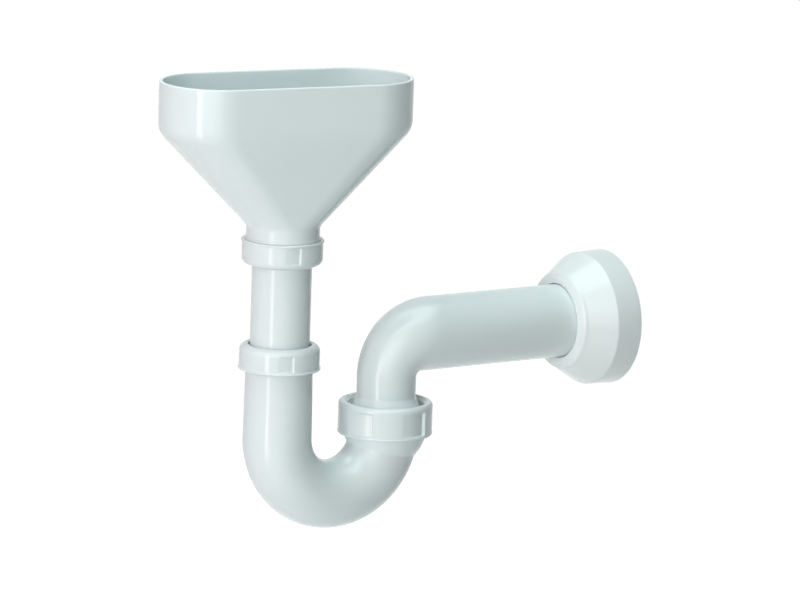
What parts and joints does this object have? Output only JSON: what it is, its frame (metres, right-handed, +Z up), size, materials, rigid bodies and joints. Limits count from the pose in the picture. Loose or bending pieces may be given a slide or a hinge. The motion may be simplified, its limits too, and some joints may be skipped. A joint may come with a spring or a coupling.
{
  "type": "drip water trap",
  "caption": "Wall trap for drip water: an oval catch funnel on an inlet tube, a screwed U-bend that keeps a water seal, and an outlet bend with a wall rosette.",
  "frame": {"origin": "where the axis of the outlet pipe meets the face of the wall", "axes": "+X along the outlet pipe into the wall, +Z up, +Y to the left of someone who looks along +X"},
  "size_m": [0.3599, 0.0926, 0.3069],
  "materials": {
    "white_plastic": "moulded polypropylene, satin gloss",
    "bright_plastic": "moulded polypropylene, a whiter batch, satin gloss",
    "seal_rubber": "matt EPDM"
  },
  "bodies": {
    "root": {"funnel": "white_plastic", "funnel_nut": "white_plastic", "funnel_washer": "seal_rubber", "inlet_tube": "white_plastic", "tube_nut": "white_plastic", "tube_slip_ring": "bright_plastic", "tube_seal": "seal_rubber", "u_bend": "white_plastic", "outlet_seal": "seal_rubber", "outlet_nut": "white_plastic", "outlet_bend": "white_plastic", "rosette": "bright_plastic"}
  },
  "joints": []
}
